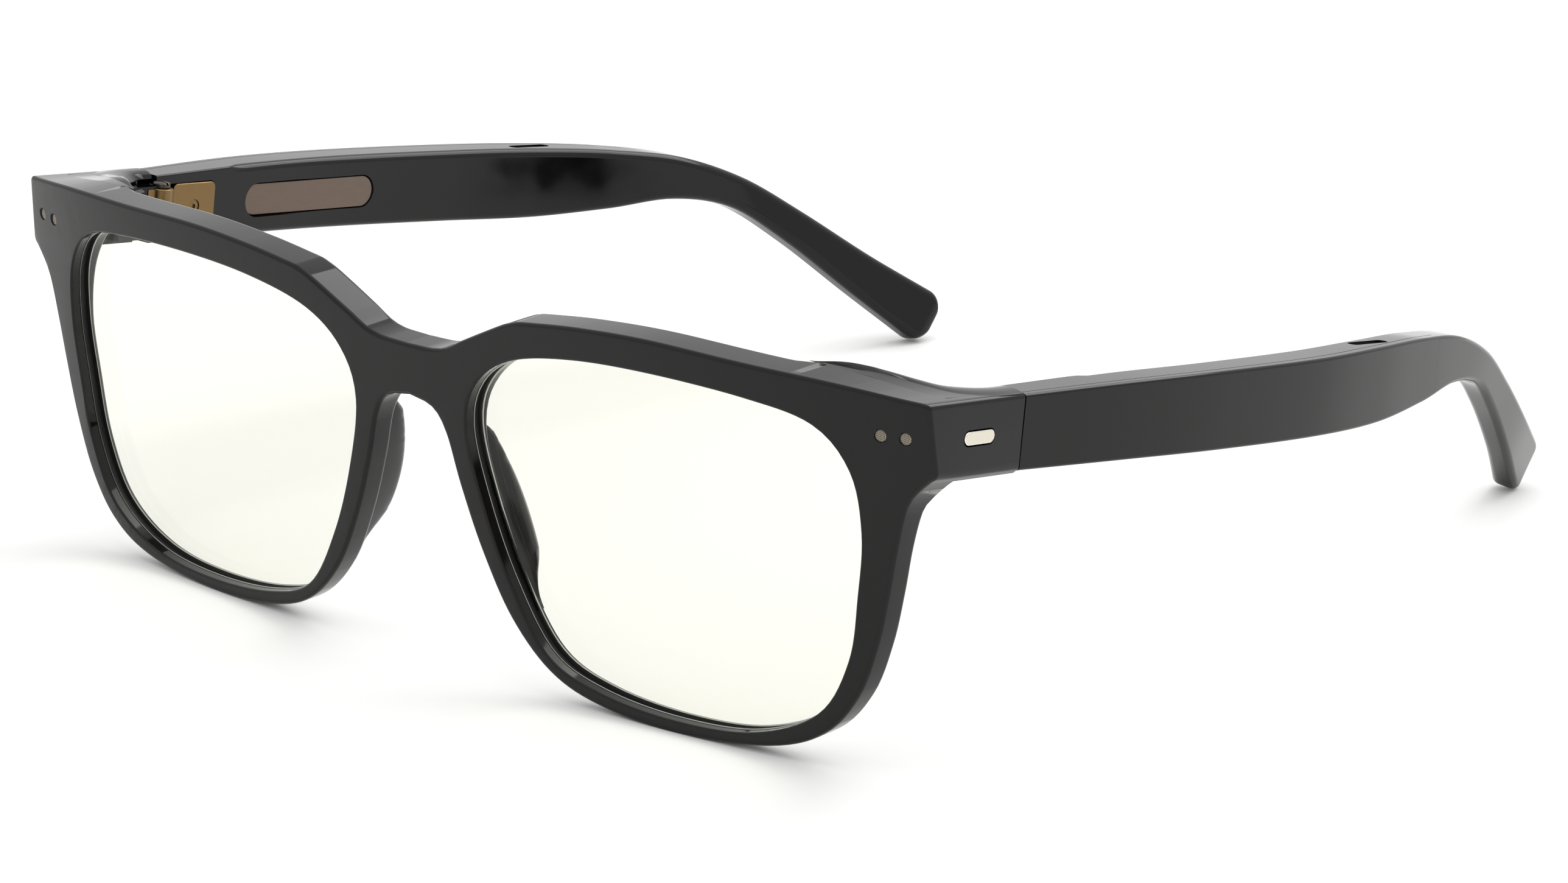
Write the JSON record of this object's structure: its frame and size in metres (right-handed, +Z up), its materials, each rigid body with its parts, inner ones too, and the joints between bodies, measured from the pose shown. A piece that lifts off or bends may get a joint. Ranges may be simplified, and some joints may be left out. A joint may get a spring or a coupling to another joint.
{
  "type": "smart glasses",
  "caption": "Open-ear audio smart glasses: moulded square front with clear lenses and microphones, folding temples holding speakers, cells and boards.",
  "frame": {"origin": "centre of the bounding box's footprint, on the surface that the rims and the temple tips rest on, temples open", "axes": "+X to the wearer's left, +Y back along the temples, +Z up"},
  "size_m": [0.1492, 0.1526, 0.0466],
  "materials": {
    "shell_black": "high gloss moulded black",
    "lens_clear": "clear coated",
    "badge_steel": "fine brushed, warm silver",
    "hinge_bronze": "satin bronze plated",
    "mesh_bronze": "woven, dark bronze",
    "screw_steel": "machined",
    "board_green": "solder mask",
    "capsule_gold": "plated lid",
    "flex_amber": "polyimide film",
    "cell_foil": "laminated foil",
    "coil_copper": "enamelled winding",
    "plaque_brown": "satin brown",
    "speaker_black": "matte",
    "switch_steel": "stamped"
  },
  "bodies": {
    "front": {"cover_screw_left": "screw_steel", "cover_screw_right": "screw_steel", "endpiece_cover_left": "shell_black", "endpiece_cover_right": "shell_black", "front_flex_left": "flex_amber", "front_flex_right": "flex_amber", "front_frame": "shell_black", "front_hinge_left": "hinge_bronze", "front_hinge_right": "hinge_bronze", "hinge_screw_left": "screw_steel", "hinge_screw_right": "screw_steel", "lens_left": "lens_clear", "lens_right": "lens_clear", "mic_board_left": "board_green", "mic_board_right": "board_green", "mic_capsule_left_inner": "capsule_gold", "mic_capsule_left_outer": "capsule_gold", "mic_capsule_right_inner": "capsule_gold", "mic_capsule_right_outer": "capsule_gold", "mic_mesh_left_inner": "mesh_bronze", "mic_mesh_left_outer": "mesh_bronze", "mic_mesh_right_inner": "mesh_bronze", "mic_mesh_right_outer": "mesh_bronze", "side_badge_left": "badge_steel", "side_badge_right": "badge_steel"},
    "temple_left": {"battery_cell_left": "cell_foil", "charging_coil_left": "coil_copper", "circuit_board_left": "board_green", "inner_plate_left": "plaque_brown", "leaf_screw_left": "hinge_bronze", "speaker_driver_left": "speaker_black", "speaker_grille_bottom_left": "mesh_bronze", "speaker_grille_top_left": "mesh_bronze", "temple_body_left": "shell_black", "temple_cover_left": "shell_black", "temple_flex_left": "flex_amber", "temple_hinge_left": "hinge_bronze"},
    "temple_right": {"battery_cell_right": "cell_foil", "charging_coil_right": "coil_copper", "circuit_board_right": "board_green", "inner_plate_right": "plaque_brown", "leaf_screw_right": "hinge_bronze", "speaker_driver_right": "speaker_black", "speaker_grille_bottom_right": "mesh_bronze", "speaker_grille_top_right": "mesh_bronze", "temple_body_right": "shell_black", "temple_cover_right": "shell_black", "temple_flex_right": "flex_amber", "temple_hinge_right": "hinge_bronze", "button_switch": "switch_steel"},
    "button": {"function_button": "shell_black"}
  },
  "joints": [
    {"name": "fold_left", "type": "hinge", "parent": "front", "child": "temple_left", "pos_m": [0.0664, -0.05285, 0.03834], "axis": [0, 0.1226, 0.9925], "range_deg": [0, 86]},
    {"name": "fold_right", "type": "hinge", "parent": "front", "child": "temple_right", "pos_m": [-0.0664, -0.05285, 0.03834], "axis": [0, -0.1226, -0.9925], "range_deg": [0, 79]},
    {"name": "press_button", "type": "slide", "parent": "temple_right", "child": "button", "axis": [0, 0.1226, 0.9925], "range_m": [0, 0.0004], "stiffness_N_per_m": 2500}
  ]
}
